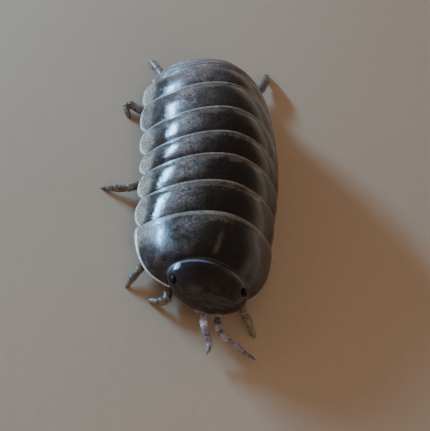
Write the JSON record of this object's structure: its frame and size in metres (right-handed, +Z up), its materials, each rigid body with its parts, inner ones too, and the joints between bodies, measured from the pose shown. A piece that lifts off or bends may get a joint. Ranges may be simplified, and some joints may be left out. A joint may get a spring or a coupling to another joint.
{
  "type": "woodlouse",
  "caption": "Walking pill woodlouse with overlapping arched back plates, a small head with bent feelers, short legs under the plate edges and a rounded, segmented tail.",
  "frame": {"origin": "middle of the overall outline seen from above, on the floor under the feet", "axes": "+Y along the body from head to tail, +X to the animal's left, +Z up"},
  "size_m": [0.0096, 0.0194, 0.004],
  "materials": {
    "shell": "dark grey-brown horn plates, satin gloss, pale rear rims",
    "head_shell": "dark slate grey, finely pitted, satin",
    "eye": "black, faceted, glossy",
    "underside": "pale grey-beige, soft satin",
    "leg": "olive-brown, satin",
    "feeler": "violet-grey, satin"
  },
  "bodies": {
    "root": {"pereonite_1": "shell", "pereonite_2": "shell", "pereonite_3": "shell", "pereonite_4": "shell", "pereonite_5": "shell", "pereonite_6": "shell", "pereonite_7": "shell", "pleonite_1": "shell", "pleonite_2": "shell", "pleonite_3": "shell", "pleonite_4": "shell", "pleonite_5": "shell", "telson": "shell", "uropod_L": "shell", "uropod_R": "shell", "head": "head_shell", "eye_L": "eye", "eye_R": "eye", "belly": "underside", "pleopods": "underside", "leg_L1": "leg", "leg_L2": "leg", "leg_L3": "leg", "leg_L4": "leg", "leg_L5": "leg", "leg_L6": "leg", "leg_L7": "leg", "leg_R1": "leg", "leg_R2": "leg", "leg_R3": "leg", "leg_R4": "leg", "leg_R5": "leg", "leg_R6": "leg", "leg_R7": "leg", "antenna_L": "feeler", "antenna_R": "feeler"}
  },
  "joints": []
}
